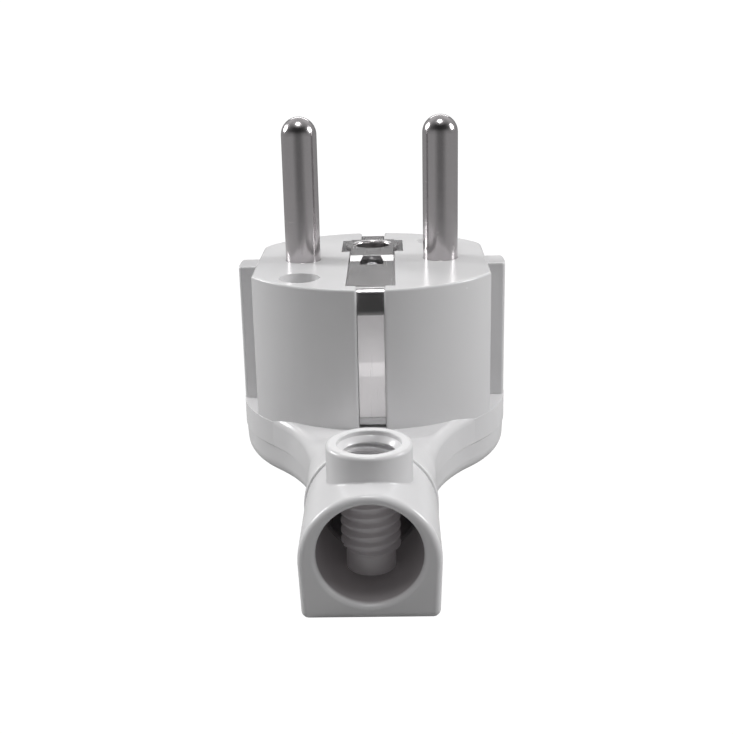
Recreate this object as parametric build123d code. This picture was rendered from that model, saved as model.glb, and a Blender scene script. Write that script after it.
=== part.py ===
from build123d import *
import math
import os

os.makedirs("parts", exist_ok=True)

# Rewirable earthed plug with a side cable entry, in millimetres. It stands on its flat back with the
# pins up. The plug's axis is Z, the back face is z = 0, the pins lie along X and the cable neck points to -Y.

# Body: a round shell in two halves, with a flat on each side and a rib on each flat
body_height = 27.0
body_radius = 18.45
shell_wall = 1.7
face_thickness = 2.4
seam_height = 4.2
seam_gap = 0.12
base_floor = 2.0
base_set_in = 0.1
base_draft = 3.0
back_edge_radius = 2.2
face_edge_radius = 0.3
flat_distance = 15.75
ledge_z = 7.7
front_corner_radius = 0.6
back_corner_radius = 5.0
upper_set_in = 0.06
rib_width = 4.9
rib_drop = 0.35
rib_corner_radius = 0.5

# Side grooves for the earth clips, and the window that each clip's tail goes through
groove_width = 3.5
groove_bottom = 8.5
groove_depth = 2.75
groove_lip_radius = 0.3
window_rise = 0.45
window_height = 0.8

# Flare and hood between the body and the cable neck
neck_half_width = 7.5
hood_step = 0.1
hood_wall = 1.4
hood_front = 38.4
hood_back = 10.0
flare_radius = 24.0
flare_edge_radius = 1.2
hood_section_count = 12
hood_crown_flat = 1.0
hood_edge_radius = 0.25

# Cable neck of the base shell
neck_length = 51.4
arch_center_height = 6.4
neck_bottom_narrowing = 0.25
neck_corner_radius = 0.8
neck_edge_radius = 0.7
bore_radius = 5.6
bore_height = 7.2
bore_lip_radius = 0.5

# Boss and cord grip screw
grip_distance = 43.4
boss_radius = 4.66
boss_height = 16.65
boss_edge_radius = 0.4
boss_foot_radius = 0.25
grip_thread_radius = 3.25
grip_thread_pitch = 1.1
grip_thread_depth = 0.55
grip_pilot_radius = 2.62
grip_pilot_length = 2.2
grip_tip_height = 2.2
grip_length = 11.0
grip_slot_width = 1.2
grip_slot_depth = 1.6
grip_clearance = 0.06
grip_tip_chamfer = 0.25
grip_lead_in = 0.15
grip_mouth_radius = 3.46
grip_mouth_depth = 0.9

# Pins with their terminal barrels
pin_spacing = 19.0
pin_radius = 2.4
pin_length = 19.5
pin_seat_radius = 2.9
pin_seat_taper = 0.5
pin_hole_clearance = 0.05
collar_radius = 3.7
collar_thickness = 1.6
barrel_radius = 3.3
barrel_length = 12.0
barrel_chamfer = 0.4
wire_hole_radius = 1.6
wire_hole_rise = 4.5

# Terminal screws
terminal_screw_radius = 1.75
terminal_screw_length = 4.4
terminal_screw_stand_out = 0.6
terminal_slot_width = 0.8
terminal_slot_depth = 0.9
terminal_screw_chamfer = 0.35
thread_clearance = 0.05

# Pin carrier and its screws
carrier_thickness = 2.4
carrier_half_length = 13.8
carrier_back = 5.0
carrier_front = 10.0
carrier_corner_radius = 2.0
carrier_clearance = 0.15
carrier_screw_x = 5.3
carrier_screw_y = 7.4
carrier_screw_radius = 1.4
carrier_screw_depth = 2.9
carrier_head_radius = 2.6
carrier_head_height = 1.6
carrier_head_edge = 0.5
carrier_boss_radius = 2.7

# Central column, its screw and the threaded insert
column_radius = 4.2
column_bottom = 9.0
housing_screw_radius = 2.0
housing_screw_end = 3.6
housing_hole_clearance = 0.2
housing_head_radius = 2.8
housing_head_height = 2.0
housing_head_drop = 1.05
housing_head_edge = 0.8
housing_point_chamfer = 0.4
head_clearance = 0.2
cross_width = 0.9
cross_length = 3.4
cross_depth = 1.1
insert_radius = 2.8
insert_length = 6.0
insert_groove_depth = 0.3
insert_groove_width = 1.0

# Earth strap over the face
strap_width = 6.0
strap_thickness = 0.6
strap_front_drop = 0.3
strap_slope_start = -0.3
strap_slope_end = 2.2
strap_slope_room = 0.3
strap_slope_radius = 2.0
strap_bend_room = 0.5
strap_bend_drop = 0.2
strap_floor_gap = 0.15
strap_neck_distance = 12.9
strap_clearance = 0.18
clip_width = 3.1
clip_bend_radius = 0.8
tail_bend_radius = 0.5
clip_knee_radius = 1.2
clip_knee_lean = 0.93
clip_knee_drop = 3.3
clip_kink_drop_high = 9.7
clip_kink_drop_low = 11.6
clip_lower_lean = 0.65
tail_rise = 0.85
tail_length = 4.0
strap_window_width = 3.25
strap_window_back_width = 2.5
strap_window_front = -2.5
strap_window_bend = -0.5
strap_window_back = 2.0

# Earth socket for the earth pin of the other socket system
earth_distance = 10.0
earth_hole_radius = 2.55
earth_hole_lip = 0.4
eyelet_radius = 3.9
eyelet_corner_radius = 1.5
sleeve_inner_radius = 2.55
sleeve_thickness = 0.45
sleeve_length = 14.4
sleeve_slit_width = 0.7
sleeve_slit_length = 9.0
sleeve_slit_rise = 2.0
well_clearance = 0.2
well_wall = 1.1
well_gap = 0.3
pocket_half_width = 4.4
pocket_front = 4.5
pocket_back = 12.4
pocket_depth = 1.6
earth_block_width = 8.0
earth_block_front = 3.5
earth_block_clearance = 0.5
earth_block_bottom = 4.6
earth_block_seat = 0.8
earth_block_chamfer = 0.5
earth_wire_rise = 4.1

# Two round blind pockets in the face, on one diagonal
face_pocket_x = 9.3
face_pocket_y = 11.2
face_pocket_radius = 2.7
face_pocket_depth = 3.0
face_pocket_wall = 1.0

# Tongue of the base shell inside the face shell
tongue_height = 1.4
tongue_thickness = 1.0
tongue_clearance = 0.1

# Sizes that follow from the ones above
face_z = body_height
under_face = body_height - face_thickness
upper_radius = body_radius - upper_set_in
groove_floor = body_radius - groove_depth
pin_x = pin_spacing / 2
hood_half_width = neck_half_width + hood_step
strap_shoulder = groove_floor + strap_floor_gap
clip_top_offset = strap_shoulder + strap_thickness / 2
clip_knee_offset = clip_top_offset + clip_knee_lean
clip_lower_offset = clip_top_offset + clip_lower_lean
tail_z = groove_bottom + tail_rise
earth_block_back = groove_floor - shell_wall - earth_block_clearance
flare_x = hood_half_width + flare_radius
flare_y = -math.sqrt((body_radius + flare_radius) ** 2 - flare_x ** 2)
flare_share = body_radius / (body_radius + flare_radius)
flare_end_x = flare_x * flare_share
flare_end_y = flare_y * flare_share
collar_bottom = under_face - collar_thickness
carrier_bottom = collar_bottom - carrier_thickness
barrel_bottom = collar_bottom - barrel_length
head_top = face_z - housing_head_drop
head_seat = head_top - housing_head_height
sleeve_outer_radius = sleeve_inner_radius + sleeve_thickness
sleeve_top = face_z - strap_thickness
earth_block_top = sleeve_top - sleeve_length + earth_block_seat
well_radius = sleeve_outer_radius + well_clearance
well_bottom = earth_block_top + well_gap
cut = 1.0
join = 0.1
wide = 3 * body_radius


def cylinder_between(radius, low, high, x=0, y=0):
    """An upright cylinder from z = low to z = high."""
    return Pos(x, y, (low + high) / 2) * Cylinder(radius, high - low)


def block(x0, x1, y0, y1, z0, z1):
    """A box given by its six sides."""
    center = Pos((x0 + x1) / 2, (y0 + y1) / 2, (z0 + z1) / 2)
    return center * Box(x1 - x0, y1 - y0, z1 - z0)


def raise_profile(profile, low, high):
    """Extrude a flat profile from z = low to z = high."""
    return Pos(0, 0, low) * extrude(profile, high - low)


def half_width_at(y):
    """Half the width of the flare and hood at y, up to where the flare touches the round body."""
    if y <= flare_y:
        return hood_half_width
    if y >= flare_end_y:
        return flare_end_x
    return flare_x - math.sqrt(flare_radius ** 2 - (y - flare_y) ** 2)


def plan_outline(inset, front):
    """The body, flare and hood seen from above, moved inwards by inset and cut off at y = -front."""
    radius = body_radius - inset
    half = hood_half_width - inset
    leave = Vector(flare_x, flare_y).normalized() * radius
    toward = Vector(flare_x, flare_y)
    start_angle = math.atan2(leave.Y - flare_y, leave.X - flare_x)
    mid_angle = (start_angle + math.pi) / 2
    arc_radius = flare_radius + inset
    middle = toward + Vector(math.cos(mid_angle), math.sin(mid_angle)) * arc_radius
    right = Curve() + [
        Line((half, -front), (half, flare_y)),
        ThreePointArc((half, flare_y), middle, leave),
    ]
    back = ThreePointArc(leave, (0, radius), (-leave.X, leave.Y))
    left = mirror(right, Plane.YZ)
    front_edge = Line((-half, -front), (half, -front))
    return make_face(right.edges() + [back] + left.edges() + [front_edge])


def lobed_profile(inset, grooves):
    """Section of the body above the ledge: a disc with two side flats and, if asked, the clip grooves."""
    radius = upper_radius - inset
    half = flat_distance - inset
    disc = Circle(radius) & Rectangle(2 * half, 3 * radius)
    corners = disc.vertices()
    disc = fillet(corners.filter_by(lambda v: v.Y > 0), max(back_corner_radius - inset, 0.3))
    front_corners = disc.vertices().filter_by(lambda v: v.Y < 0 and abs(v.X) > half - 0.1)
    disc = fillet(front_corners, front_corner_radius)
    if grooves:
        for side in (-1, 1):
            slot_center = side * (groove_floor + radius)
            disc -= Pos(0, slot_center) * Rectangle(groove_width, 2 * radius)
        lips = disc.vertices().filter_by(
            lambda v: abs(abs(v.X) - groove_width / 2) < 0.01 and abs(v.Y) > radius - 1
        )
        disc = fillet(lips, groove_lip_radius)
    return disc


def rib_profile():
    """Section of the two side ribs, which reach out as far as the lobes do."""
    ribs = Circle(upper_radius) & Rectangle(wide, rib_width)
    return fillet(ribs.vertices(), rib_corner_radius)


def hood_section(y, inset):
    """Arched section of the hood at y, from the seam up to its crown."""
    along = (y + hood_front) / (hood_front - body_radius)
    along = min(max(along, 0.0), 1.0)
    blend = along * along * (3 - 2 * along)
    crown_at_neck = arch_center_height + hood_half_width
    crown = crown_at_neck + (groove_bottom - crown_at_neck) * blend - inset
    half = half_width_at(y) - inset
    widest_corner = hood_half_width - hood_crown_flat / 2
    corner = widest_corner + (flare_edge_radius - widest_corner) * blend - inset
    corner = max(corner, 0.4)
    low = seam_height
    spring = crown - corner
    lean = corner * math.sqrt(0.5)
    right_arc = ThreePointArc(
        (half, spring), (half - corner + lean, spring + lean), (half - corner, crown)
    )
    left_arc = ThreePointArc(
        (corner - half, crown), (corner - half - lean, spring + lean), (-half, spring)
    )
    outline = [
        Line((-half, low), (half, low)),
        Line((half, low), (half, spring)),
        right_arc,
        Line((half - corner, crown), (corner - half, crown)),
        left_arc,
        Line((-half, spring), (-half, low)),
    ]
    section_plane = Plane((0, y, 0), x_dir=(1, 0, 0), z_dir=(0, -1, 0))
    return section_plane * make_face(outline)


def hood_solid(inset, front, back):
    """Loft of arched sections from y = -front back into the body."""
    step = (front - back) / (hood_section_count - 1)
    sections = [hood_section(-front + step * i, inset) for i in range(hood_section_count)]
    return loft(sections)


def slotted(solid, top, width, depth, reach, x=0, y=0):
    """Cut a straight screwdriver slot into the end of a screw; a negative depth cuts from below."""
    low = min(top, top - depth)
    high = max(top, top - depth)
    return solid - block(x - reach, x + reach, y - width / 2, y + width / 2, low, high)


def build_face_shell():
    """Upper shell: pin face, wall, ribs, flare and hood, with bosses for all that it carries."""
    lower = cylinder_between(body_radius, seam_height + seam_gap, ledge_z)
    middle = raise_profile(lobed_profile(0, False), ledge_z, groove_bottom)
    upper = raise_profile(lobed_profile(0, True), groove_bottom, face_z)
    upper = fillet(upper.faces().sort_by(Axis.Z)[-1].edges(), face_edge_radius)
    ribs = raise_profile(rib_profile(), ledge_z, face_z - rib_drop)
    ribs = fillet(ribs.faces().sort_by(Axis.Z)[-1].edges(), face_edge_radius)
    shell = lower + middle + upper + ribs

    hood = hood_solid(0, hood_front, hood_back)
    hood_front_edges = [
        e for e in hood.edges()
        if abs(e.center().Y + hood_front) < 0.01 and e.center().Z > seam_height + 0.5
    ]
    hood = fillet(hood_front_edges, hood_edge_radius)
    hood &= block(-wide, wide, -wide, 0, seam_height + seam_gap, body_height)
    shell += hood

    # Hollow inside
    shell -= cylinder_between(body_radius - shell_wall, seam_height - cut, ledge_z - shell_wall)
    inside = lobed_profile(shell_wall, False)
    for side in (-1, 1):
        wall_center = side * (groove_floor - shell_wall + body_radius)
        inside -= Pos(0, wall_center) * Rectangle(groove_width + 2 * shell_wall, 2 * body_radius)
    shell -= raise_profile(inside, groove_bottom - shell_wall, under_face)
    shell -= raise_profile(lobed_profile(shell_wall, False), ledge_z - shell_wall - cut,
                           groove_bottom - shell_wall)
    shell -= hood_solid(hood_wall, hood_front + cut, hood_back)

    # Column for the housing screw, well for the earth socket, bosses for the carrier screws
    shell += cylinder_between(column_radius, column_bottom, under_face + cut)
    shell += cylinder_between(well_radius + well_wall, well_bottom, under_face + cut,
                              y=earth_distance)
    for side in (-1, 1):
        shell += cylinder_between(carrier_boss_radius, collar_bottom, under_face + cut,
                                  x=side * carrier_screw_x, y=-carrier_screw_y)
        pocket_boss = cylinder_between(face_pocket_radius + face_pocket_wall,
                                       face_z - face_pocket_depth - face_pocket_wall,
                                       under_face + cut,
                                       x=side * face_pocket_x, y=side * face_pocket_y)
        shell += pocket_boss & cylinder_between(body_radius - shell_wall / 2, 0, body_height)

    # Recess for the strap, its narrower ends, and the pocket round the earth hole
    half_strap = strap_width / 2 + strap_clearance
    front_floor = face_z - strap_front_drop - strap_thickness
    back_floor = face_z - strap_thickness
    shell -= block(-half_strap, half_strap, -strap_shoulder - strap_clearance,
                   strap_slope_end + strap_slope_room, front_floor, face_z + cut)
    shell -= block(-half_strap, half_strap, strap_slope_end - cut,
                   strap_neck_distance + strap_clearance, back_floor, face_z + cut)
    half_groove = groove_width / 2
    shell -= block(-half_groove, half_groove, strap_neck_distance - cut, strap_shoulder + cut,
                   back_floor, face_z + cut)
    for side, half_room, floor in ((-1, half_strap, front_floor), (1, half_groove, back_floor)):
        y_in = side * (strap_shoulder - strap_bend_room)
        y_out = side * (strap_shoulder + strap_clearance)
        shell -= block(-half_room, half_room, min(y_in, y_out), max(y_in, y_out),
                       floor - strap_bend_drop, face_z)
    for side in (-1, 1):
        y_in = side * (strap_shoulder - cut)
        y_out = side * (body_radius + cut)
        shell -= block(-half_groove, half_groove, min(y_in, y_out), max(y_in, y_out),
                       front_floor, face_z + cut)
        shell -= block(-half_groove, half_groove, min(side * (groove_floor - shell_wall - cut), y_out),
                       max(side * (groove_floor - shell_wall - cut), y_out),
                       groove_bottom + window_rise, groove_bottom + window_rise + window_height)
    shell -= block(-pocket_half_width, pocket_half_width, pocket_front, pocket_back,
                   face_z - pocket_depth, face_z + cut)

    # Holes
    for side in (-1, 1):
        shell -= Pos(side * pin_x, 0, 0) * pin_seat(pin_hole_clearance, under_face - cut)
        shell -= cylinder_between(face_pocket_radius, face_z - face_pocket_depth, face_z + cut,
                                  x=side * face_pocket_x, y=side * face_pocket_y)
        shell -= cylinder_between(carrier_screw_radius + thread_clearance, collar_bottom - cut,
                                  collar_bottom + carrier_screw_depth + 0.1,
                                  x=side * carrier_screw_x, y=-carrier_screw_y)
    shell -= cylinder_between(well_radius, well_bottom - cut, face_z + cut, y=earth_distance)
    shell -= cylinder_between(housing_screw_radius + housing_hole_clearance, column_bottom - cut,
                              face_z + cut)
    shell -= cylinder_between(housing_head_radius + head_clearance, head_seat, face_z + cut)
    return shell


def pin_seat(clearance, low):
    """The pin's shoulder under the face, from z = low up, tapered so that only the pin shows outside."""
    seat = cylinder_between(pin_seat_radius + clearance, low, face_z - pin_seat_taper)
    taper = Cone(pin_seat_radius + clearance, pin_radius + clearance, pin_seat_taper)
    return seat + Pos(0, 0, face_z - pin_seat_taper / 2) * taper


def neck_profile():
    """Section of the cable neck: a round arch on straight sides that narrow a little to the back face."""
    half = neck_half_width
    low = half - neck_bottom_narrowing
    outline = [
        Line((-low, 0), (low, 0)),
        Line((low, 0), (half, arch_center_height)),
        ThreePointArc((half, arch_center_height), (0, arch_center_height + half),
                      (-half, arch_center_height)),
        Line((-half, arch_center_height), (-low, 0)),
    ]
    profile = make_face(outline)
    return fillet(profile.vertices().filter_by(lambda v: v.Y < 0.1), neck_corner_radius)


def build_base_shell():
    """Lower shell: tray with its tongue, cable neck, bored boss and the post for the insert."""
    outline = Pos(0, 0, seam_height) * plan_outline(base_set_in, hood_front + cut)
    tray = extrude(outline, -seam_height, taper=base_draft)
    back_edges = tray.faces().sort_by(Axis.Z)[0].edges()
    back_edges = [e for e in back_edges if e.center().Y > -hood_front]
    tray = fillet(back_edges, back_edge_radius)
    tray &= block(-wide, wide, -hood_front, wide, 0, seam_height)

    neck_end = Plane((0, -neck_length, 0), x_dir=(1, 0, 0), z_dir=(0, -1, 0))
    neck = extrude(neck_end * neck_profile(), -(neck_length - hood_front))
    front_edges = neck.faces().sort_by(Axis.Y)[0].edges()
    neck = fillet(front_edges, neck_edge_radius)
    boss = cylinder_between(boss_radius, arch_center_height, boss_height, y=-grip_distance)
    boss = fillet(boss.faces().sort_by(Axis.Z)[-1].edges(), boss_edge_radius)
    neck += boss
    foot = neck.edges().filter_by(GeomType.BSPLINE)
    neck = fillet(foot, boss_foot_radius)
    shell = tray + neck

    # Tongue, then the hollow of the tray
    tongue_outer = shell_wall + tongue_clearance
    tongue = plan_outline(tongue_outer, hood_front) - plan_outline(
        tongue_outer + tongue_thickness, hood_front + cut)
    shell += raise_profile(tongue, base_floor, seam_height + tongue_height)
    shell -= raise_profile(plan_outline(tongue_outer + tongue_thickness, hood_front - cut),
                           base_floor, body_height)

    # Cable bore with its rounded lip
    bore = Cylinder(bore_radius, neck_length - hood_front + 3 * cut, rotation=(90, 0, 0))
    bore_middle = -(neck_length + hood_front) / 2
    shell -= Pos(0, bore_middle, bore_height) * bore
    lip = [
        e for e in shell.edges().filter_by(GeomType.CIRCLE)
        if abs(e.radius - bore_radius) < 0.01 and abs(e.center().Y + neck_length) < 0.01
    ]
    shell = fillet(lip, bore_lip_radius)

    # Hole for the grip screw, with a wider mouth and a small lead-in
    hole_radius = grip_thread_radius + grip_clearance
    shell -= cylinder_between(hole_radius, bore_height, boss_height + cut, y=-grip_distance)
    shell -= cylinder_between(grip_mouth_radius, boss_height - grip_mouth_depth, boss_height + cut,
                              y=-grip_distance)
    lead_in = [
        e for e in shell.edges().filter_by(GeomType.CIRCLE)
        if abs(e.radius - grip_mouth_radius) < 0.01 and abs(e.center().Z - boss_height) < 0.01
    ]
    shell = fillet(lead_in, grip_lead_in)

    # Post for the insert
    shell += cylinder_between(column_radius, base_floor - join, column_bottom)
    shell -= cylinder_between(insert_radius, column_bottom - insert_length, column_bottom + cut)
    return shell


def build_grip_screw():
    """Headless plastic screw: ridged thread, plain tip and a slot in the top."""
    top = grip_tip_height + grip_length
    shoulder = grip_tip_height + grip_pilot_length
    root = grip_thread_radius - grip_thread_depth
    turns = int((top - shoulder) / grip_thread_pitch)
    points = [
        (0, grip_tip_height),
        (grip_pilot_radius - grip_tip_chamfer, grip_tip_height),
        (grip_pilot_radius, grip_tip_height + grip_tip_chamfer),
        (grip_pilot_radius, shoulder),
        (root, shoulder),
    ]
    for turn in range(turns):
        low = shoulder + turn * grip_thread_pitch
        points.append((grip_thread_radius, low + 0.4 * grip_thread_pitch))
        points.append((grip_thread_radius, low + 0.55 * grip_thread_pitch))
        points.append((root, low + 0.95 * grip_thread_pitch))
    points.append((root, top))
    points.append((0, top))
    half_section = Plane.XZ * make_face(Polyline(*points, close=True))
    screw = Pos(0, -grip_distance, 0) * revolve(half_section, Axis.Z)
    return slotted(screw, top, grip_slot_width, grip_slot_depth, 2 * grip_thread_radius,
                   y=-grip_distance)


def build_pin(side):
    """Round-tipped pin, its seat in the face, collar and terminal barrel, turned from one bar."""
    top = face_z + pin_length
    pin = cylinder_between(pin_radius, face_z - pin_seat_taper, top - pin_radius)
    pin += Pos(0, 0, top - pin_radius) * Sphere(pin_radius)
    pin += pin_seat(0, under_face)
    pin += cylinder_between(collar_radius, collar_bottom, under_face)
    barrel = cylinder_between(barrel_radius, barrel_bottom, collar_bottom)
    barrel = chamfer(barrel.faces().sort_by(Axis.Z)[0].edges(), barrel_chamfer)
    pin += barrel
    wire_z = barrel_bottom + wire_hole_rise
    pin -= Pos(0, 0, wire_z) * Cylinder(wire_hole_radius, 3 * barrel_radius, rotation=(90, 0, 0))
    pin -= cylinder_between(terminal_screw_radius + thread_clearance, barrel_bottom - cut, wire_z)
    return Pos(side * pin_x, 0, 0) * pin


def build_terminal_screw(bottom, x, y):
    """Headless terminal screw, driven from the back, with its slot down."""
    screw = cylinder_between(terminal_screw_radius, bottom, bottom + terminal_screw_length)
    screw = chamfer(screw.faces().sort_by(Axis.Z)[-1].edges(), terminal_screw_chamfer)
    screw = Pos(x, y, 0) * screw
    return slotted(screw, bottom, terminal_slot_width, -terminal_slot_depth,
                   2 * terminal_screw_radius, x=x, y=y)


def build_carrier():
    """Insulating bridge under the pin collars, round the central column."""
    plate = Rectangle(2 * carrier_half_length, carrier_back + carrier_front)
    plate = Pos(0, (carrier_back - carrier_front) / 2) * plate
    plate = fillet(plate.vertices(), carrier_corner_radius)
    plate &= lobed_profile(shell_wall + carrier_clearance, False)
    plate -= Circle(column_radius + carrier_clearance)
    for side in (-1, 1):
        plate -= Pos(side * pin_x, 0) * Circle(barrel_radius + carrier_clearance)
        plate -= Pos(side * carrier_screw_x, -carrier_screw_y) * Circle(
            carrier_screw_radius + carrier_clearance)
    plate -= Pos(-face_pocket_x, -face_pocket_y) * Circle(
        face_pocket_radius + face_pocket_wall + carrier_clearance)
    return raise_profile(plate, carrier_bottom, collar_bottom)


def build_carrier_screw(side):
    """Self-tapping screw up through the carrier into its boss."""
    head_bottom = carrier_bottom - carrier_head_height
    screw = cylinder_between(carrier_screw_radius, carrier_bottom - join,
                             collar_bottom + carrier_screw_depth)
    head = cylinder_between(carrier_head_radius, head_bottom, carrier_bottom)
    head = fillet(head.faces().sort_by(Axis.Z)[0].edges(), carrier_head_edge)
    screw = Pos(side * carrier_screw_x, -carrier_screw_y, 0) * (screw + head)
    return slotted(screw, head_bottom, terminal_slot_width, -terminal_slot_depth,
                   2 * carrier_head_radius, x=side * carrier_screw_x, y=-carrier_screw_y)


def build_housing_screw():
    """Pan-head screw with a cross recess, from the face down into the insert."""
    head = cylinder_between(housing_head_radius, head_seat, head_top)
    head = fillet(head.faces().sort_by(Axis.Z)[-1].edges(), housing_head_edge)
    shank = cylinder_between(housing_screw_radius, housing_screw_end, head_seat + join)
    shank = chamfer(shank.faces().sort_by(Axis.Z)[0].edges(), housing_point_chamfer)
    screw = head + shank
    half_length = cross_length / 2
    half_width = cross_width / 2
    low = head_top - cross_depth
    screw -= block(-half_length, half_length, -half_width, half_width, low, head_top + cut)
    screw -= block(-half_width, half_width, -half_length, half_length, low, head_top + cut)
    return screw


def build_insert():
    """Brass threaded insert with a retaining groove."""
    low = column_bottom - insert_length
    insert = cylinder_between(insert_radius, low, column_bottom)
    middle = low + insert_length / 2
    ring = cylinder_between(insert_radius + cut, middle - insert_groove_width / 2,
                            middle + insert_groove_width / 2)
    ring -= cylinder_between(insert_radius - insert_groove_depth, low, column_bottom)
    insert -= ring
    insert -= cylinder_between(housing_screw_radius + thread_clearance, low - cut,
                               column_bottom + cut)
    return insert


def clip_line(side, face_drop, tail_end):
    """Middle line of one half of the strap, from the slope over the edge, down the groove and inside."""
    half = strap_thickness / 2
    top = face_z - face_drop - half
    points = [
        (side * clip_top_offset, top),
        (side * clip_knee_offset, face_z - clip_knee_drop),
        (side * clip_knee_offset, face_z - clip_kink_drop_high),
        (side * clip_lower_offset, face_z - clip_kink_drop_low),
        (side * clip_lower_offset, tail_z),
        (side * tail_end, tail_z),
    ]
    radii = [clip_bend_radius, clip_knee_radius, clip_knee_radius, clip_knee_radius, tail_bend_radius]
    return points, radii


def build_strap():
    """Earth strap bent from one strip: flat over the face, clips down both grooves, tails inside."""
    front, front_radii = clip_line(-1, strap_front_drop, clip_lower_offset - tail_length)
    back, back_radii = clip_line(1, 0, earth_block_back)
    half = strap_thickness / 2
    slope = [
        (strap_slope_start, face_z - strap_front_drop - half),
        (strap_slope_end, face_z - half),
    ]
    points = front[::-1] + slope + back
    radii = front_radii[::-1] + [strap_slope_radius, strap_slope_radius] + back_radii
    line = FilletPolyline(*points, radius=radii)
    strip = Plane.YZ * trace(line, strap_thickness)
    strap = extrude(strip, strap_width / 2, both=True)

    # The clips are narrower than the strip on the face
    half_clip = clip_width / 2
    for side in (-1, 1):
        x_in = side * half_clip
        x_out = side * strap_width
        strap -= block(min(x_in, x_out), max(x_in, x_out), -2 * body_radius, -strap_shoulder,
                       0, face_z + cut)
        strap -= block(min(x_in, x_out), max(x_in, x_out), strap_neck_distance, 2 * body_radius,
                       0, face_z + cut)
        strap -= block(min(side * half_clip, side * strap_width),
                       max(side * half_clip, side * strap_width),
                       -2 * body_radius, 2 * body_radius, 0, face_z - 3 * strap_thickness)

    # Round eyelet over the earth socket, blended into the strip
    eyelet = cylinder_between(eyelet_radius, face_z - strap_thickness, face_z, y=earth_distance)
    strap += eyelet & block(-wide, wide, 0, strap_neck_distance, 0, face_z)
    join_y = earth_distance - math.sqrt(eyelet_radius ** 2 - (strap_width / 2) ** 2)
    corners = [
        e for e in strap.edges().filter_by(Axis.Z)
        if abs(abs(e.center().X) - strap_width / 2) < 0.01 and abs(e.center().Y - join_y) < 0.01
    ]
    strap = fillet(corners, eyelet_corner_radius)

    # Window over the housing screw, narrower on the slope, and the rounded hole for the earth pin
    half_front = strap_window_width / 2
    half_back = strap_window_back_width / 2
    corner_points = [
        (-half_front, strap_window_front), (half_front, strap_window_front),
        (half_front, strap_window_bend), (half_back, strap_window_back),
        (-half_back, strap_window_back), (-half_front, strap_window_bend),
    ]
    window = make_face(Polyline(*corner_points, close=True))
    strap -= raise_profile(window, under_face, face_z + cut)
    strap -= cylinder_between(earth_hole_radius, under_face, face_z + cut, y=earth_distance)
    lip = [
        e for e in strap.edges().filter_by(GeomType.CIRCLE)
        if abs(e.radius - earth_hole_radius) < 0.01 and abs(e.center().Z - face_z) < 0.01
    ]
    return fillet(lip, earth_hole_lip)


def build_earth_socket():
    """Slit sleeve that grips the earth pin, hanging under the strap's hole."""
    low = sleeve_top - sleeve_length
    sleeve = cylinder_between(sleeve_outer_radius, low, sleeve_top)
    sleeve -= cylinder_between(sleeve_inner_radius, low - cut, sleeve_top + cut)
    slit_low = low + sleeve_slit_rise
    half_slit = sleeve_slit_width / 2
    sleeve -= block(-half_slit, half_slit, -2 * sleeve_outer_radius, 2 * sleeve_outer_radius,
                    slit_low, slit_low + sleeve_slit_length)
    return Pos(0, earth_distance, 0) * sleeve


def build_earth_terminal():
    """Brass block that seats the earth socket and clamps the earth wire."""
    half_width = earth_block_width / 2
    terminal = block(-half_width, half_width, -earth_block_front,
                     earth_block_back - earth_distance, earth_block_bottom, earth_block_top)
    terminal = chamfer(terminal.edges().filter_by(Axis.Z), earth_block_chamfer)
    terminal -= cylinder_between(sleeve_outer_radius, earth_block_top - earth_block_seat,
                                 earth_block_top + cut)
    wire_z = earth_block_bottom + earth_wire_rise
    terminal -= Pos(0, 0, wire_z) * Cylinder(wire_hole_radius, 2 * earth_block_width,
                                             rotation=(0, 90, 0))
    terminal -= cylinder_between(terminal_screw_radius + thread_clearance,
                                 earth_block_bottom - cut, wire_z)
    return Pos(0, earth_distance, 0) * terminal


terminal_screw_bottom = barrel_bottom - terminal_screw_stand_out
earth_screw_bottom = earth_block_bottom - terminal_screw_stand_out
nodes = {
    "face_shell": build_face_shell(),
    "base_shell": build_base_shell(),
    "cord_grip_screw": build_grip_screw(),
    "pin_left": build_pin(-1),
    "pin_right": build_pin(1),
    "terminal_screw_left": build_terminal_screw(terminal_screw_bottom, -pin_x, 0),
    "terminal_screw_right": build_terminal_screw(terminal_screw_bottom, pin_x, 0),
    "pin_carrier": build_carrier(),
    "carrier_screw_left": build_carrier_screw(-1),
    "carrier_screw_right": build_carrier_screw(1),
    "housing_screw": build_housing_screw(),
    "housing_insert": build_insert(),
    "earth_strap": build_strap(),
    "earth_socket": build_earth_socket(),
    "earth_terminal": build_earth_terminal(),
    "earth_terminal_screw": build_terminal_screw(earth_screw_bottom, 0, earth_distance),
}

for name, solid in nodes.items():
    export_step(solid, f"parts/{name}.step")
    print(name, len(solid.solids()), round(solid.volume, 1))
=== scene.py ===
"""Looks of the rewirable earthed plug: moulded white shells, plated pins and strap, and a studio for it.

The plug stands on its flat back at the origin, with its pins up and its cable neck toward -Y. Sizes are in
millimetres unless a comment says otherwise.
"""
import math

import bmesh
import bpy
from mathutils import Matrix, Vector


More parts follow.
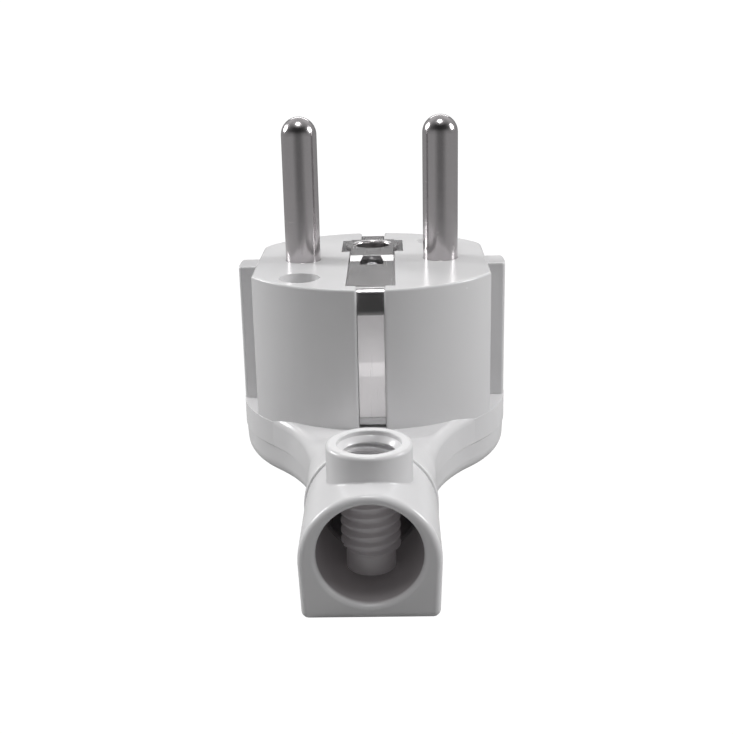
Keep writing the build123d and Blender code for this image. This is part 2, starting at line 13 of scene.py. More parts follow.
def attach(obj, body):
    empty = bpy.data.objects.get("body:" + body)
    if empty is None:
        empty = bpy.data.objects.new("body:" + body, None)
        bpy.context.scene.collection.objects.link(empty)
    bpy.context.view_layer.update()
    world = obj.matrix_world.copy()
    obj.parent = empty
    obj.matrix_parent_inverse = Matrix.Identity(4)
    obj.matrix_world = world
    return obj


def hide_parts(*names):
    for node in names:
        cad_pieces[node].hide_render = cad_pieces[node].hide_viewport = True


MM = 0.001
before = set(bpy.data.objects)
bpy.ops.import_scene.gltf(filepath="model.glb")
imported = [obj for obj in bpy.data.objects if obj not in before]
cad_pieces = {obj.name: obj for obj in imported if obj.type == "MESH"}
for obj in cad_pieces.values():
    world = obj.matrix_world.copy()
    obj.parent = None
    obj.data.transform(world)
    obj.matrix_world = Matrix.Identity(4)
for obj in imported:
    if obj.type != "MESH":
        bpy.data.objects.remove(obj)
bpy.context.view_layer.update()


def cad_corners(name):
    """The low and the high corner of a CAD piece, in millimetres to a hundredth."""
    corners = [Vector(corner) / MM for corner in cad_pieces[name].bound_box]
    low = [round(min(values), 2) for values in zip(*corners)]
    high = [round(max(values), 2) for values in zip(*corners)]
    return low, high


grip_low, grip_high = cad_corners("cord_grip_screw")
base_low, base_high = cad_corners("base_shell")
housing_low, housing_high = cad_corners("housing_screw")

# The photograph's frame in pixels, and its camera in millimetres and degrees, but its range in metres
PHOTO_LONG_SIDE = 734
FOCAL_PIXELS = 1172.0
CAMERA_PLACE = (2.54, -159.5, 61.9)
CAMERA_YAW = -1.295
CAMERA_PITCH = 17.63
CAMERA_ROLL = -1.27
SENSOR_WIDTH = 36.0
CAMERA_RANGE = (0.005, 20.0)

# Two vertices closer than this are one, and an edge sharper than this angle in degrees stays sharp
MERGE_DISTANCE = 0.0005
SHARP_ANGLE = 38

# Cord grip screw: its place, its ends and its crest are the CAD screw's. The tip's edge is a row of steps
# in from the side and up from the end. The runout is where the thread begins, along its own spiral.
GRIP_Y = (grip_low[1] + grip_high[1]) / 2
GRIP_TIP = grip_low[2]
GRIP_TOP = grip_high[2]
GRIP_CREST = grip_high[0]
GRIP_ROOT = 2.6
GRIP_PILOT = 2.7
GRIP_TIP_EDGE = ((0.22, 0.0), (0.06, 0.06), (0.0, 0.22))
GRIP_SHOULDER = GRIP_TIP + 2.2
GRIP_PILOT_END = GRIP_SHOULDER - 0.4
GRIP_ROOT_START = GRIP_SHOULDER - 0.2
GRIP_RUNOUT_START = GRIP_SHOULDER - 0.1
GRIP_RUNOUT = 0.6
GRIP_RUNOUT_SPIRAL = 0.4
GRIP_WALL_END = GRIP_TOP - 0.05
GRIP_SLOT_WIDTH = 1.2
GRIP_SLOT_DEPTH = 1.6

# The boss that the grip screw is driven into, from its top down
BOSS_LAND_TOP = base_high[2] - 0.52
BOSS_FLOOR = base_high[2] - 0.89
BOSS_LAND_LOW = base_high[2] - 1.05
BOSS_WALL_END = BOSS_LAND_LOW - 0.3
BOSS_THREAD_LOW = GRIP_TOP + 0.1
BOSS_THREAD_FADE = 0.3
BOSS_THREAD_CREST = 2.83
BOSS_BORE = 3.31
BOSS_MOUTH = 3.455
BOSS_LINING = 0.05
BOSS_EDGE = 0.06

# The thread of the screw and its boss. A foot is the ridge's half width at the root and the flank is the
# length of its slope, both as a share of half a pitch. The turn is a share of a full turn.
THREAD_PITCH = 1.1
THREAD_RINGS = 16
THREAD_SIDES = 96
THREAD_FLANK = 0.56
THREAD_WALL_REACH = 0.01
GRIP_THREAD_FOOT = 0.72
BOSS_THREAD_FOOT = 0.86
BOSS_THREAD_TURN = 0.39

# The earth clips, as the CAD has them and as they are seen, and the shell's plate below each clip's end
CLIP_HALF_WIDTH = 1.55
CLIP_SEEN_HALF_WIDTH = 1.7
CLIP_SIDE_REACH = 0.02
CLIP_START = 15.8
FOOT_SIZE = (2 * CLIP_SEEN_HALF_WIDTH + 0.06, 1.2, 0.86)
FOOT_REACH = 16.75
FOOT_HEIGHT = 9.32
FOOT_BEVEL = 0.06

# The housing screw: its end and its head are the CAD screw's, and the head has a hub with a socket. The
# socket's rim is a row of steps out from the side and down from the hub's top.
SHANK_END = housing_low[2]
SHANK_RADIUS = 2.0
SHANK_CHAMFER = 0.4
HEAD_TOP = housing_high[2]
HEAD_SEAT = HEAD_TOP - 2.0
HEAD_RADIUS = housing_high[0]
HEAD_FLAT = 1.75
HEAD_DOME = 0.8
HEAD_STEPS = 8
HUB_RADIUS = 0.8
HUB_TOP = HEAD_TOP + 0.4
HUB_ROUND = 0.3
HUB_STEPS = 6
SOCKET_RADIUS = 0.3
SOCKET_RIM = ((0.14, 0.0), (0.05, 0.05), (0.0, 0.16))
SOCKET_DEPTH = 1.2
SOCKET_CONE = 0.2
SCREW_SIDES = 64

# The cord's bore, whose inside has painted shade: a darker colour, with a faint painted glow. The painted
# shade blends into the outside's tone at the wall and at both ends.
BORE_HEIGHT = 7.2
BORE_RADIUS = 5.63
BORE_WALL_BLEND = 0.08
BORE_FRONT = base_low[1] + 0.45
BORE_FRONT_BLEND = 0.5
BORE_BACK = -38.6
BORE_BACK_BLEND = 0.1

# Moulded plastic: the scales of its noise per metre, the pores' share of the height beside the peel's, the
# range of the noise that the tone follows, and its index of refraction
PEEL_SCALE = 420.0
PORE_SCALE = 5200.0
PORE_SHARE = 0.12
TONE_SCALE = 55.0
TONE_RANGE = (0.3, 0.7)
GLOSS_SCALE = 170.0
PLASTIC_IOR = 1.53

# Worked metal: the scales of its noise per metre, the ranges of the noise that make pits and scratches,
# the lines' share of the height beside the pits', and the roughness that a scratch adds
CLOUD_SCALE = 260.0
PIT_SCALE = 1500.0
PIT_RANGE = (0.24, 0.18)
LINE_SHARE = 0.5
SCRATCH_RANGE = (0.62, 0.72)
SCRATCH_ROUGHNESS = 0.08

# Colour of a painted glow, an emission that stands for light coming through the plastic, a little warmer
# than white
GLOW_TINT = (1.0, 0.93, 0.96)
NO_GLOW = (0.0, 0.0, 0.0)

# The lamps, each with its shape, its place and its size in metres and its power in watts, and their aim
LAMP_AIM = (0, 0, 0.03)
LAMPS = {
    "softbox_top": ("ELLIPSE", (-0.02, -0.13, 0.85), (0.27, 0.33), 2.35),
    "strip_back": ("RECTANGLE", (0.0, 0.75, 0.45), (0.6, 0.14), 0.8),
    "lamp_left": ("ELLIPSE", (-0.7, 0.255, 0.37), (0.34, 0.36), 3.9),
    "lamp_right": ("ELLIPSE", (0.74, 0.02, 0.375), (0.3, 0.32), 3.8),
}

# Tone of the room by height, for rings from the camera's side to behind the plug, in degrees
ROOM_HEIGHTS = (-25, 6, 26, 49, 75)
ROOM_RINGS = (
    (12, (0.18, 0.14, 0.03, 0.02, 0.40)),
    (42, (0.42, 0.31, 0.05, 0.04, 0.40)),
    (85, (0.50, 0.24, 0.10, 0.24, 0.40)),
    (140, (0.38, 0.32, 0.47, 0.70, 0.40)),
    (172, (0.18, 0.13, 0.28, 0.62, 0.40)),
)

# Brightness of the white that the camera sees round the plug
SEEN_WHITE = 1.05

# The floor, and its tone in reflections, which rises from its front to a line behind the plug's middle
FLOOR_RADIUS = 160.0
FLOOR_SIDES = 96
FLOOR_DROP = 0.02
FLOOR_FRONT = -130.0
FLOOR_BACK = 60.0
FLOOR_TONES = (0.34, 0.5)


def math_node(tree, operation, *values):
    """One sum on numbers; each is a socket or a plain value."""
    node = tree.nodes.new("ShaderNodeMath")
    node.operation = operation
    for index, value in enumerate(values):
        if isinstance(value, (int, float)):
            node.inputs[index].default_value = value
        else:
            tree.links.new(value, node.inputs[index])
    return node.outputs[0]


def remap(tree, value, source, target=(0.0, 1.0)):
    """Stretch a number from one range to another, held at both ends."""
    node = tree.nodes.new("ShaderNodeMapRange")
    node.inputs["From Min"].default_value = source[0]
    node.inputs["From Max"].default_value = source[1]
    node.inputs["To Min"].default_value = target[0]
    node.inputs["To Max"].default_value = target[1]
    tree.links.new(value, node.inputs["Value"])
    return node.outputs["Result"]


def noise(tree, vector, scale, detail=3.0, roughness=0.5):
    """Noise of one scale along a vector socket."""
    node = tree.nodes.new("ShaderNodeTexNoise")
    node.inputs["Scale"].default_value = scale
    node.inputs["Detail"].default_value = detail
    node.inputs["Roughness"].default_value = roughness
    tree.links.new(vector, node.inputs["Vector"])
    return node.outputs["Fac"]


def stretched(tree, vector, scale):
    """The vector stretched by a factor for each axis."""
    node = tree.nodes.new("ShaderNodeMapping")
    node.inputs["Scale"].default_value = scale
    tree.links.new(vector, node.inputs["Vector"])
    return node.outputs["Vector"]


def split_vector(tree, vector):
    """The X, Y and Z sockets of a vector."""
    node = tree.nodes.new("ShaderNodeSeparateXYZ")
    tree.links.new(vector, node.inputs[0])
    return node.outputs


def mix_colors(tree, factor, first, second):
    """Mix of two colours by a mask; each colour is a socket or three plain values."""
    node = tree.nodes.new("ShaderNodeMix")
    node.data_type = "RGBA"
    tree.links.new(factor, node.inputs["Factor"])
    for name, color in (("A", first), ("B", second)):
        if isinstance(color, tuple):
            node.inputs[name].default_value = (*color, 1.0)
        else:
            tree.links.new(color, node.inputs[name])
    return node.outputs["Result"]


def mix_by_camera(tree, for_others, for_camera, target):
    """Send one shader to the target for the camera's own rays, and another for all other rays."""
    path = tree.nodes.new("ShaderNodeLightPath").outputs["Is Camera Ray"]
    mix = tree.nodes.new("ShaderNodeMixShader")
    tree.links.new(path, mix.inputs["Fac"])
    tree.links.new(for_others.outputs[0], mix.inputs[1])
    tree.links.new(for_camera.outputs[0], mix.inputs[2])
    tree.links.new(mix.outputs[0], target)


def join_bump(tree, shader, height, distance):
    """Bump from a height, with its distance in metres."""
    node = tree.nodes.new("ShaderNodeBump")
    node.inputs["Strength"].default_value = 1.0
    node.inputs["Distance"].default_value = distance
    tree.links.new(height, node.inputs["Height"])
    tree.links.new(node.outputs["Normal"], shader.inputs["Normal"])


def start_group(name, inputs, outputs):
    """An empty shader group with named vector inputs and number outputs."""
    group = bpy.data.node_groups.new(name, "ShaderNodeTree")
    for socket in inputs:
        group.interface.new_socket(socket, in_out="INPUT", socket_type="NodeSocketVector")
    for socket in outputs:
        group.interface.new_socket(socket, in_out="OUTPUT", socket_type="NodeSocketFloat")
    entry = group.nodes.new("NodeGroupInput")
    end = group.nodes.new("NodeGroupOutput")
    return group, entry.outputs, end.inputs


def place_group(tree, group, **vectors):
    """The outputs of a new copy of a shader group, with its vector inputs joined."""
    node = tree.nodes.new("ShaderNodeGroup")
    node.node_tree = group
    for name, socket in vectors.items():
        tree.links.new(socket, node.inputs[name])
    return node.outputs


def make_moulded_skin():
    """Moulded plastic: a faint orange peel, fine pores and slow changes of tone and gloss."""
    group, given, made = start_group("moulded_skin", ("Vector",), ("Height", "Tone", "Gloss"))
    vector = given["Vector"]
    peel = noise(group, vector, PEEL_SCALE, detail=2.0)
    pores = math_node(group, "MULTIPLY", noise(group, vector, PORE_SCALE, detail=2.0), PORE_SHARE)
    group.links.new(math_node(group, "ADD", peel, pores), made["Height"])
    group.links.new(remap(group, noise(group, vector, TONE_SCALE), TONE_RANGE), made["Tone"])
    group.links.new(noise(group, vector, GLOSS_SCALE), made["Gloss"])
    return group


def make_drawn_metal():
    """Worked metal: fine parallel lines across the given axis, sparse scratches and small pits."""
    group, given, made = start_group("drawn_metal", ("Lines", "Vector"), ("Height", "Scratch", "Cloud"))
    lines = noise(group, given["Lines"], 1.0, roughness=0.6)
    soft = math_node(group, "MULTIPLY", lines, LINE_SHARE)
    pits = remap(group, noise(group, given["Vector"], PIT_SCALE, detail=1.0), PIT_RANGE)
    group.links.new(math_node(group, "SUBTRACT", soft, pits), made["Height"])
    group.links.new(remap(group, lines, SCRATCH_RANGE), made["Scratch"])
    cloud = noise(group, given["Vector"], CLOUD_SCALE, detail=4.0, roughness=0.6)
    group.links.new(cloud, made["Cloud"])
    return group


def make_bore_shade_mask():
    """Mask of the bore's painted shade: 1 inside the cord's bore and 0 elsewhere."""
    group, given, made = start_group("bore_painted_shade", ("Vector",), ("Mask",))
    place = split_vector(group, given["Vector"])
    rise = math_node(group, "SUBTRACT", place["Z"], BORE_HEIGHT * MM)
    across = math_node(group, "MULTIPLY", place["X"], place["X"])
    upward = math_node(group, "MULTIPLY", rise, rise)
    reach = math_node(group, "SQRT", math_node(group, "ADD", across, upward))
    near = remap(group, reach, ((BORE_RADIUS + BORE_WALL_BLEND) * MM, BORE_RADIUS * MM))
    deep = remap(group, place["Y"], (BORE_FRONT * MM, (BORE_FRONT + BORE_FRONT_BLEND) * MM))
    short = remap(group, place["Y"], (BORE_BACK * MM, (BORE_BACK - BORE_BACK_BLEND) * MM))
    mask = math_node(group, "MULTIPLY", near, math_node(group, "MULTIPLY", deep, short))
    group.links.new(mask, made["Mask"])
    return group


MOULDED_SKIN = make_moulded_skin()
DRAWN_METAL = make_drawn_metal()
BORE_SHADE_MASK = make_bore_shade_mask()


def start_material(name):
    """A new material with its shader and object coordinates."""
    material = bpy.data.materials.new(name)
    material.use_nodes = True
    tree = material.node_tree
    shader = tree.nodes["Principled BSDF"]
    coords = tree.nodes.new("ShaderNodeTexCoord").outputs["Object"]
    return material, tree, shader, coords


def moulded_plastic(name, color, shade, rough, peel, painted_bore_shade=None, glow=0.0):
    """Moulded plastic in one colour that shifts a little towards a shade.

    Rough is the range of its roughness and peel the height of its surface in metres. Glow is the strength
    of a painted glow, an emission that stands for light coming through the plastic. With a painted bore
    shade, the bore gets that darker colour as painted shade, and only the bore has the painted glow.
    """
    material, tree, shader, coords = start_material(name)
    skin = place_group(tree, MOULDED_SKIN, Vector=coords)
    tone = mix_colors(tree, skin["Tone"], color, shade)
    # Painted shade: the bore gets a darker colour, and only the bore has the painted glow.
    if painted_bore_shade:
        inside = place_group(tree, BORE_SHADE_MASK, Vector=coords)["Mask"]
        tone = mix_colors(tree, inside, tone, painted_bore_shade)
        tree.links.new(mix_colors(tree, inside, NO_GLOW, GLOW_TINT), shader.inputs["Emission Color"])
    # Elsewhere the painted glow, if any, covers the whole piece evenly.
    else:
        shader.inputs["Emission Color"].default_value = (*GLOW_TINT, 1.0)
    shader.inputs["Emission Strength"].default_value = glow
    shader.inputs["IOR"].default_value = PLASTIC_IOR
    tree.links.new(tone, shader.inputs["Base Color"])
    tree.links.new(remap(tree, skin["Gloss"], (0.0, 1.0), rough), shader.inputs["Roughness"])
    join_bump(tree, shader, skin["Height"], peel)
    return material


def worked_metal(name, color, shade, rough, lines, depth):
    """Plated or bare metal in one colour that shifts towards a shade.

    Rough is the range of its roughness. Its lines run across the axis with the largest of the scales, and
    depth is their height in metres.
    """
    material, tree, shader, coords = start_material(name)
    marks = place_group(tree, DRAWN_METAL, Lines=stretched(tree, coords, lines), Vector=coords)
    tree.links.new(mix_colors(tree, marks["Cloud"], color, shade), shader.inputs["Base Color"])
    clouded = remap(tree, marks["Cloud"], (0.0, 1.0), rough)
    scratched = math_node(tree, "MULTIPLY", marks["Scratch"], SCRATCH_ROUGHNESS)
    tree.links.new(math_node(tree, "ADD", clouded, scratched), shader.inputs["Roughness"])
    shader.inputs["Metallic"].default_value = 1.0
    join_bump(tree, shader, marks["Height"], depth)
    return material


# The shell's bore has painted shade and a painted glow.
SHELL_WHITE = moulded_plastic(
    "shell_white", color=(0.77, 0.765, 0.77), shade=(0.745, 0.74, 0.75), rough=(0.17, 0.31),
    peel=0.000004, painted_bore_shade=(0.39, 0.365, 0.375), glow=0.017,
)
# The grip screw has an even painted glow over all of it.
SCREW_WHITE = moulded_plastic(
    "screw_white", color=(0.76, 0.74, 0.75), shade=(0.72, 0.70, 0.71), rough=(0.24, 0.44),
    peel=0.000008, glow=0.015,
)
CARRIER_GREY = moulded_plastic(
    "carrier_grey", color=(0.55, 0.55, 0.54), shade=(0.50, 0.50, 0.49), rough=(0.37, 0.57), peel=0.00001
)
PIN_NICKEL = worked_metal(
    "pin_nickel", color=(0.60, 0.575, 0.585), shade=(0.55, 0.525, 0.535), rough=(0.13, 0.24),
    lines=(60.0, 60.0, 9000.0), depth=0.0000015,
)
STRIP_NICKEL = worked_metal(
    "strip_nickel", color=(0.67, 0.655, 0.66), shade=(0.62, 0.605, 0.61), rough=(0.18, 0.29),
    lines=(7000.0, 90.0, 90.0), depth=0.0000015,
)
SCREW_ZINC = worked_metal(
    "screw_zinc", color=(0.62, 0.62, 0.63), shade=(0.54, 0.54, 0.55), rough=(0.22, 0.40),
    lines=(900.0, 900.0, 7000.0), depth=0.000003,
)
BRASS_TURNED = worked_metal(
    "brass_turned", color=(0.72, 0.53, 0.24), shade=(0.62, 0.44, 0.19), rough=(0.16, 0.36),
    lines=(80.0, 80.0, 7000.0), depth=0.000003,
)

# The CAD pieces that stay in the scene; the other three have a piece that stands in for them
CAD_FINISHES = {
    "face_shell": SHELL_WHITE,
    "base_shell": SHELL_WHITE,
    "pin_left": PIN_NICKEL,
    "pin_right": PIN_NICKEL,
    "terminal_screw_left": SCREW_ZINC,
    "terminal_screw_right": SCREW_ZINC,
    "pin_carrier": CARRIER_GREY,
    "carrier_screw_left": SCREW_ZINC,
    "carrier_screw_right": SCREW_ZINC,
    "housing_insert": BRASS_TURNED,
    "earth_socket": STRIP_NICKEL,
    "earth_terminal": BRASS_TURNED,
    "earth_terminal_screw": SCREW_ZINC,
}


def dress_cad_pieces():
    """Give each CAD piece that stays in the scene its finish."""
    for name, material in CAD_FINISHES.items():
        piece = cad_pieces[name]
        if not piece.material_slots:
            piece.data.materials.append(material)
        for slot in piece.material_slots:
            slot.material = material


def link_object(name, data):
    """A new object in the scene."""
    made = bpy.data.objects.new(name, data)
    bpy.context.scene.collection.objects.link(made)
    return made


def mesh_from(name, form):
    """A mesh in metres from a bmesh in millimetres, which is used up."""
    bmesh.ops.scale(form, vec=(MM, MM, MM), verts=form.verts)
    mesh = bpy.data.meshes.new(name)
    form.to_mesh(mesh)
    form.free()
    return mesh


def finished_piece(name, form, material):
    """A new piece from a bmesh in millimetres, smooth, with its finish, riding on the plug."""
    mesh = mesh_from(name, form)
    mesh.shade_smooth()
    mesh.set_sharp_from_angle(angle=math.radians(SHARP_ANGLE))
    mesh.materials.append(material)
    piece = link_object(name, mesh)
    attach(piece, "root")
    return piece


def quarter_round(centre, size, steps):
    """Points of a quarter of an ellipse about a centre, from its side up to its top."""
    points = []
    for step in range(steps + 1):
        angle = math.radians(90 * step / steps)
        points.append((centre[0] + size[0] * math.cos(angle), centre[1] + size[1] * math.sin(angle)))
    return points


def thread_wall(radius, low, high):
    """Points up a straight wall, close enough to raise a thread on it."""
    step = THREAD_PITCH / THREAD_RINGS
    return [(radius, low + step * index) for index in range(math.ceil((high - low) / step))]


def spun_profile(points, sides, closed=False):
    """A full turn of a profile of (radius, height) points about the z axis."""
    form = bmesh.new()
    verts = [form.verts.new((radius, 0, height)) for radius, height in points]
    edges = [form.edges.new(pair) for pair in zip(verts, verts[1:])]
    if closed:
        edges.append(form.edges.new((verts[-1], verts[0])))
    bmesh.ops.spin(
        form, geom=verts + edges, cent=(0, 0, 0), axis=(0, 0, 1), angle=2 * math.pi, steps=sides,
        use_merge=True,
    )
    bmesh.ops.remove_doubles(form, verts=form.verts, dist=MERGE_DISTANCE)
    bmesh.ops.recalc_face_normals(form, faces=form.faces)
    return form


def ramp_between(value, low, high):
    """0 at low and beyond, 1 at high and beyond, smooth in between. Low may be above high."""
    share = min(max((value - low) / (high - low), 0.0), 1.0)
    return share * share * (3 - 2 * share)


def raise_thread(form, root, crest, foot, cover, offset=0.0):
    """Raise a rounded helical ridge to the crest's radius on the wall that stands at the root's.

    Cover gives how much of the ridge stands, from 0 to 1, at a height and a share of a turn. The offset
    turns the thread by a share of a turn.
    """
    for vert in form.verts:
        radius = math.hypot(vert.co.x, vert.co.y)
        if abs(radius - root) > THREAD_WALL_REACH:
            continue
        turn = math.atan2(vert.co.y, vert.co.x) / (2 * math.pi)
        phase = (vert.co.z / THREAD_PITCH - turn + offset) % 1.0
        away = abs(phase - 0.5) * 2
        rise = ramp_between(away, foot, foot - THREAD_FLANK) * cover(vert.co.z, turn)
        wanted = root + (crest - root) * rise
        vert.co.x *= wanted / radius
        vert.co.y *= wanted / radius


def cut_from(piece, cutter_form):
    """Cut a closed bmesh in millimetres out of a piece and keep the result as its mesh."""
    cutter = link_object("cutter", mesh_from("cutter", cutter_form))
    step = piece.modifiers.new("cut", "BOOLEAN")
    step.operation = "DIFFERENCE"
    step.solver = "EXACT"
    step.object = cutter
    evaluated = piece.evaluated_get(bpy.context.evaluated_depsgraph_get())
    result = bpy.data.meshes.new_from_object(evaluated)
    piece.modifiers.clear()
    piece.data = result
    bpy.data.objects.remove(cutter)


def build_grip_screw():
    """The white plastic grip screw, with a real helical thread, a plain tip and a driver slot."""
    points = [(0, GRIP_TIP)]
    points += [(GRIP_PILOT - inward, GRIP_TIP + upward) for inward, upward in GRIP_TIP_EDGE]
    points.append((GRIP_PILOT, GRIP_PILOT_END))
    points += thread_wall(GRIP_ROOT, GRIP_ROOT_START, GRIP_WALL_END)
    points += [(GRIP_ROOT, GRIP_TOP), (0, GRIP_TOP)]
    form = spun_profile(points, THREAD_SIDES)

    def cover(height, turn):
        """The thread begins above the plain tip, along its own spiral."""
        start = GRIP_RUNOUT_START - GRIP_RUNOUT_SPIRAL * turn
        return ramp_between(height, start, start + GRIP_RUNOUT)

    raise_thread(form, GRIP_ROOT, GRIP_CREST, GRIP_THREAD_FOOT, cover)
    bmesh.ops.translate(form, vec=(0, GRIP_Y, 0), verts=form.verts)
    screw = finished_piece("grip_screw_threaded", form, SCREW_WHITE)

    slot = bmesh.new()
    bmesh.ops.create_cube(slot, size=1.0)
    slot_size = (4 * GRIP_CREST, GRIP_SLOT_WIDTH, 2 * GRIP_SLOT_DEPTH)
    bmesh.ops.scale(slot, vec=slot_size, verts=slot.verts)
    bmesh.ops.translate(slot, vec=(0, GRIP_Y, GRIP_TOP), verts=slot.verts)
    cut_from(screw, slot)
    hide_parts("cord_grip_screw")


def build_boss_thread():
    """The moulded entry cone and the turn of thread that show in the boss above the grip screw."""
    points = [(BOSS_BORE + BOSS_LINING, BOSS_THREAD_LOW)]
    points += thread_wall(BOSS_BORE, BOSS_THREAD_LOW, BOSS_WALL_END)
    points.append((BOSS_THREAD_CREST + BOSS_EDGE, BOSS_LAND_LOW - 3 * BOSS_EDGE))
    points.append((BOSS_THREAD_CREST, BOSS_LAND_LOW - BOSS_EDGE))
    points.append((BOSS_THREAD_CREST + BOSS_EDGE, BOSS_LAND_LOW + BOSS_EDGE))
    points += [(BOSS_MOUTH, BOSS_LAND_TOP), (BOSS_MOUTH, BOSS_FLOOR)]
    points.append((BOSS_BORE + BOSS_LINING, BOSS_FLOOR))
    form = spun_profile(points, THREAD_SIDES, closed=True)

    def cover(height, _turn):
        """The thread fades at both ends of the wall."""
        above_end = ramp_between(height, BOSS_THREAD_LOW, BOSS_THREAD_LOW + BOSS_THREAD_FADE)
        below_end = ramp_between(height, BOSS_WALL_END, BOSS_WALL_END - BOSS_THREAD_FADE)
        return above_end * below_end

    raise_thread(form, BOSS_BORE, BOSS_THREAD_CREST, BOSS_THREAD_FOOT, cover, offset=BOSS_THREAD_TURN)
    bmesh.ops.translate(form, vec=(0, GRIP_Y, 0), verts=form.verts)
    finished_piece("boss_thread", form, SHELL_WHITE)


def build_groove_feet():
    """The small plate of the face shell below the end of each earth clip."""
    feet = bmesh.new()
    for side in (-1, 1):
        place = Matrix.Translation((0, side * FOOT_REACH, FOOT_HEIGHT))
        bmesh.ops.create_cube(feet, size=1.0, matrix=place @ Matrix.Diagonal((*FOOT_SIZE, 1.0)))
    bmesh.ops.bevel(feet, geom=feet.edges, offset=FOOT_BEVEL, segments=2, affect="EDGES")
    finished_piece("groove_feet", feet, SHELL_WHITE)


def build_earth_strap():
    """A merged copy of the CAD strap, with clips that fill their grooves as the real ones do.

    It keeps the CAD's own normals, so that its flats stay flat beside the small bends.
    """
    cad_mesh = cad_pieces["earth_strap"].data
    normals = [corner.vector.copy() for corner in cad_mesh.corner_normals]
    form = bmesh.new()
    form.from_mesh(cad_mesh)
    bmesh.ops.scale(form, vec=(1 / MM, 1 / MM, 1 / MM), verts=form.verts)
    bmesh.ops.remove_doubles(form, verts=form.verts, dist=MERGE_DISTANCE)
    for vert in form.verts:
        on_side = abs(abs(vert.co.x) - CLIP_HALF_WIDTH) < CLIP_SIDE_REACH
        if on_side and abs(vert.co.y) > CLIP_START:
            vert.co.x = math.copysign(CLIP_SEEN_HALF_WIDTH, vert.co.x)
    strap = finished_piece("earth_strap_formed", form, STRIP_NICKEL)
    strap.data.normals_split_custom_set(normals)
    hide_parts("earth_strap")


def build_housing_screw():
    """The housing screw: a round head, with a hub and a socket whose rims catch the light."""
    points = [(0, SHANK_END), (SHANK_RADIUS - SHANK_CHAMFER, SHANK_END)]
    points += [(SHANK_RADIUS, SHANK_END + SHANK_CHAMFER), (SHANK_RADIUS, HEAD_SEAT)]
    points.append((HEAD_RADIUS, HEAD_SEAT))
    dome_size = (HEAD_RADIUS - HEAD_FLAT, HEAD_DOME)
    points += quarter_round((HEAD_FLAT, HEAD_TOP - HEAD_DOME), dome_size, HEAD_STEPS)
    points.append((HUB_RADIUS, HEAD_TOP))
    hub_centre = (HUB_RADIUS - HUB_ROUND, HUB_TOP - HUB_ROUND)
    points += quarter_round(hub_centre, (HUB_ROUND, HUB_ROUND), HUB_STEPS)
    points += [(SOCKET_RADIUS + outward, HUB_TOP - downward) for outward, downward in SOCKET_RIM]
    points += [(SOCKET_RADIUS, HUB_TOP - SOCKET_DEPTH), (0, HUB_TOP - SOCKET_DEPTH - SOCKET_CONE)]
    form = spun_profile(points, SCREW_SIDES)
    screw = finished_piece("housing_screw_headed", form, SCREW_ZINC)
    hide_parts("housing_screw")


def build_camera():
    """The camera at the photograph's place, angle and focal length."""
    yaw = math.radians(CAMERA_YAW)
    pitch = math.radians(CAMERA_PITCH)
    roll = math.radians(CAMERA_ROLL)
    level_share = math.cos(pitch)
    forward = Vector((math.sin(yaw) * level_share, math.cos(yaw) * level_share, -math.sin(pitch)))
    level = Vector((math.cos(yaw), -math.sin(yaw), 0))
    upward = level.cross(forward)
    right = level * math.cos(roll) + upward * math.sin(roll)
    top = upward * math.cos(roll) - level * math.sin(roll)
    turn = Matrix((right, top, -forward)).transposed()
    data = bpy.data.cameras.new("camera")
    data.sensor_width = SENSOR_WIDTH
    data.lens = FOCAL_PIXELS * SENSOR_WIDTH / PHOTO_LONG_SIDE
    data.clip_start, data.clip_end = CAMERA_RANGE
    camera = link_object("camera", data)
    camera.matrix_world = Matrix.Translation(Vector(CAMERA_PLACE) * MM) @ turn.to_4x4()
    bpy.context.scene.camera = camera


def build_lamps():
    """A round softbox overhead, a lamp at each side and a strip high behind the plug, all turned to it."""
    for name, (shape, place, size, power) in LAMPS.items():
        data = bpy.data.lights.new(name, "AREA")
        data.shape = shape
        data.size, data.size_y = size
        data.energy = power
        lamp = link_object(name, data)
        lamp.location = place
        lamp.rotation_mode = "QUATERNION"
        lamp.rotation_quaternion = (Vector(LAMP_AIM) - Vector(place)).to_track_quat("-Z", "Y")


def ring_tone(tree, height, tones):
    """Tone of the room by height at one ring."""
    ramp = tree.nodes.new("ShaderNodeValToRGB")
    stops = ramp.color_ramp.elements
    while len(stops) < len(ROOM_HEIGHTS):
        stops.new(0.5)
    for stop, degrees, value in zip(stops, ROOM_HEIGHTS, tones):
        stop.position = (degrees + 90) / 180
        stop.color = (value, value, value, 1)
    tree.links.new(height, ramp.inputs["Fac"])
    return ramp.outputs["Color"]


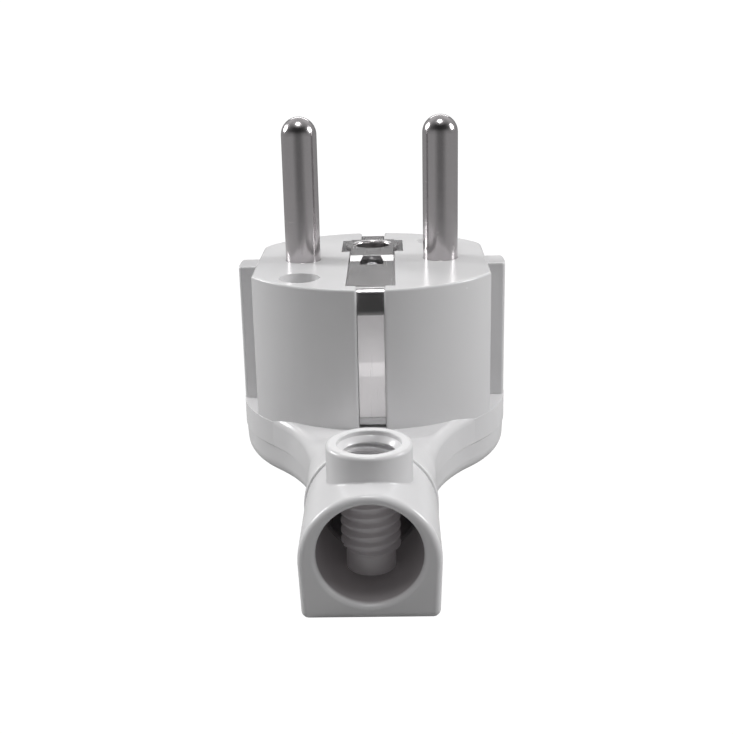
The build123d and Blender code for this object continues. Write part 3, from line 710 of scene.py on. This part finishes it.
def room_tone(tree):
    """Tone of the room: dark behind the camera, brighter low at the sides and high behind the plug."""
    direction = split_vector(tree, tree.nodes.new("ShaderNodeTexCoord").outputs["Generated"])
    ahead = math_node(tree, "MULTIPLY", direction["Y"], -1.0)
    turn = math_node(tree, "ABSOLUTE", math_node(tree, "ARCTAN2", direction["X"], ahead))
    height = remap(tree, math_node(tree, "ARCSINE", direction["Z"]), (-math.pi / 2, math.pi / 2))
    last_angle, tones = ROOM_RINGS[0]
    tone = ring_tone(tree, height, tones)
    for angle, tones in ROOM_RINGS[1:]:
        share = remap(tree, turn, (math.radians(last_angle), math.radians(angle)))
        tone = mix_colors(tree, share, tone, ring_tone(tree, height, tones))
        last_angle = angle
    return tone


def build_world():
    """White to the camera, and a dim room to all other rays."""
    world = bpy.data.worlds.new("studio")
    world.use_nodes = True
    bpy.context.scene.world = world
    tree = world.node_tree
    tree.nodes.clear()
    room = tree.nodes.new("ShaderNodeBackground")
    tree.links.new(room_tone(tree), room.inputs["Color"])
    white = tree.nodes.new("ShaderNodeBackground")
    white.inputs["Color"].default_value = (1, 1, 1, 1)
    white.inputs["Strength"].default_value = SEEN_WHITE
    out = tree.nodes.new("ShaderNodeOutputWorld")
    mix_by_camera(tree, room, white, out.inputs["Surface"])


def build_floor():
    """A plain white floor. Reflections see it darker towards the camera's side, as in a real tent."""
    form = bmesh.new()
    bmesh.ops.create_circle(form, cap_ends=True, segments=FLOOR_SIDES, radius=FLOOR_RADIUS)
    floor = link_object("floor", mesh_from("floor", form))
    floor.location.z = -FLOOR_DROP * MM

    material, tree, shader, coords = start_material("floor_white")
    tree.nodes.remove(shader)
    tone = remap(tree, split_vector(tree, coords)["Y"], (FLOOR_FRONT * MM, FLOOR_BACK * MM), FLOOR_TONES)
    grey = tree.nodes.new("ShaderNodeCombineColor")
    for channel in ("Red", "Green", "Blue"):
        tree.links.new(tone, grey.inputs[channel])
    bounce = tree.nodes.new("ShaderNodeBsdfDiffuse")
    tree.links.new(grey.outputs["Color"], bounce.inputs["Color"])
    white = tree.nodes.new("ShaderNodeEmission")
    white.inputs["Strength"].default_value = SEEN_WHITE
    mix_by_camera(tree, bounce, white, tree.nodes["Material Output"].inputs["Surface"])
    floor.data.materials.append(material)


dress_cad_pieces()
build_grip_screw()
build_boss_thread()
build_groove_feet()
build_earth_strap()
build_housing_screw()
build_camera()
build_lamps()
build_world()
build_floor()
bpy.context.scene.view_settings.view_transform = "Standard"
